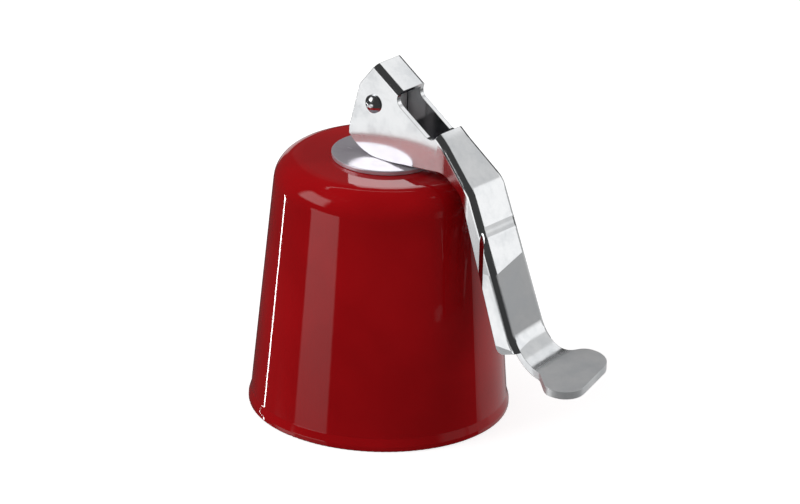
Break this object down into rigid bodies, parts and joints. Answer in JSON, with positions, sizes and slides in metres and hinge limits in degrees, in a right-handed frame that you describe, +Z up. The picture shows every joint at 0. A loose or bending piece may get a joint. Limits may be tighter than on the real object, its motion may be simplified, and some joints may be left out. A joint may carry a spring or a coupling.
{
  "type": "lever bottle closure",
  "caption": "Bell-shaped bottle closure with a stamped cam lever that pulls a rod and squeezes a rubber plug inside the bottle mouth.",
  "frame": {"origin": "centre of the bell's rim, on the plane that it stands on", "axes": "+Z up the bell's axis towards the lever, +X from the bell's axis towards the lever's thumb pad"},
  "size_m": [0.0692, 0.0448, 0.0627],
  "materials": {
    "red_plastic": "deep glossy red",
    "polished_steel": "polished",
    "nickel_steel": "nickel plated, bright",
    "plain_steel": "satin zinc",
    "black_rubber": "matt"
  },
  "bodies": {
    "bell_body": {"bell": "red_plastic", "cam_washer": "polished_steel", "inner_plate": "plain_steel", "lip_seal": "black_rubber", "rubber_plug": "black_rubber"},
    "rod_body": {"pull_rod": "nickel_steel", "lower_plate": "plain_steel", "end_nut": "plain_steel"},
    "lever_body": {"lever": "nickel_steel", "pivot_pin": "polished_steel"}
  },
  "joints": [
    {"name": "rod_slide", "type": "slide", "parent": "bell_body", "child": "rod_body", "axis": [0, 0, 1], "range_m": [-0.00227, 0], "deforming": ["rubber_plug"]},
    {"name": "lever_hinge", "type": "hinge", "parent": "rod_body", "child": "lever_body", "pos_m": [0, 0, 0.0555], "axis": [0, -1, 0], "range_deg": [0, 100]}
  ],
  "couplings": [
    {"joint": "rod_slide", "follows": "lever_hinge", "m_per_rad": -0.0013}
  ]
}
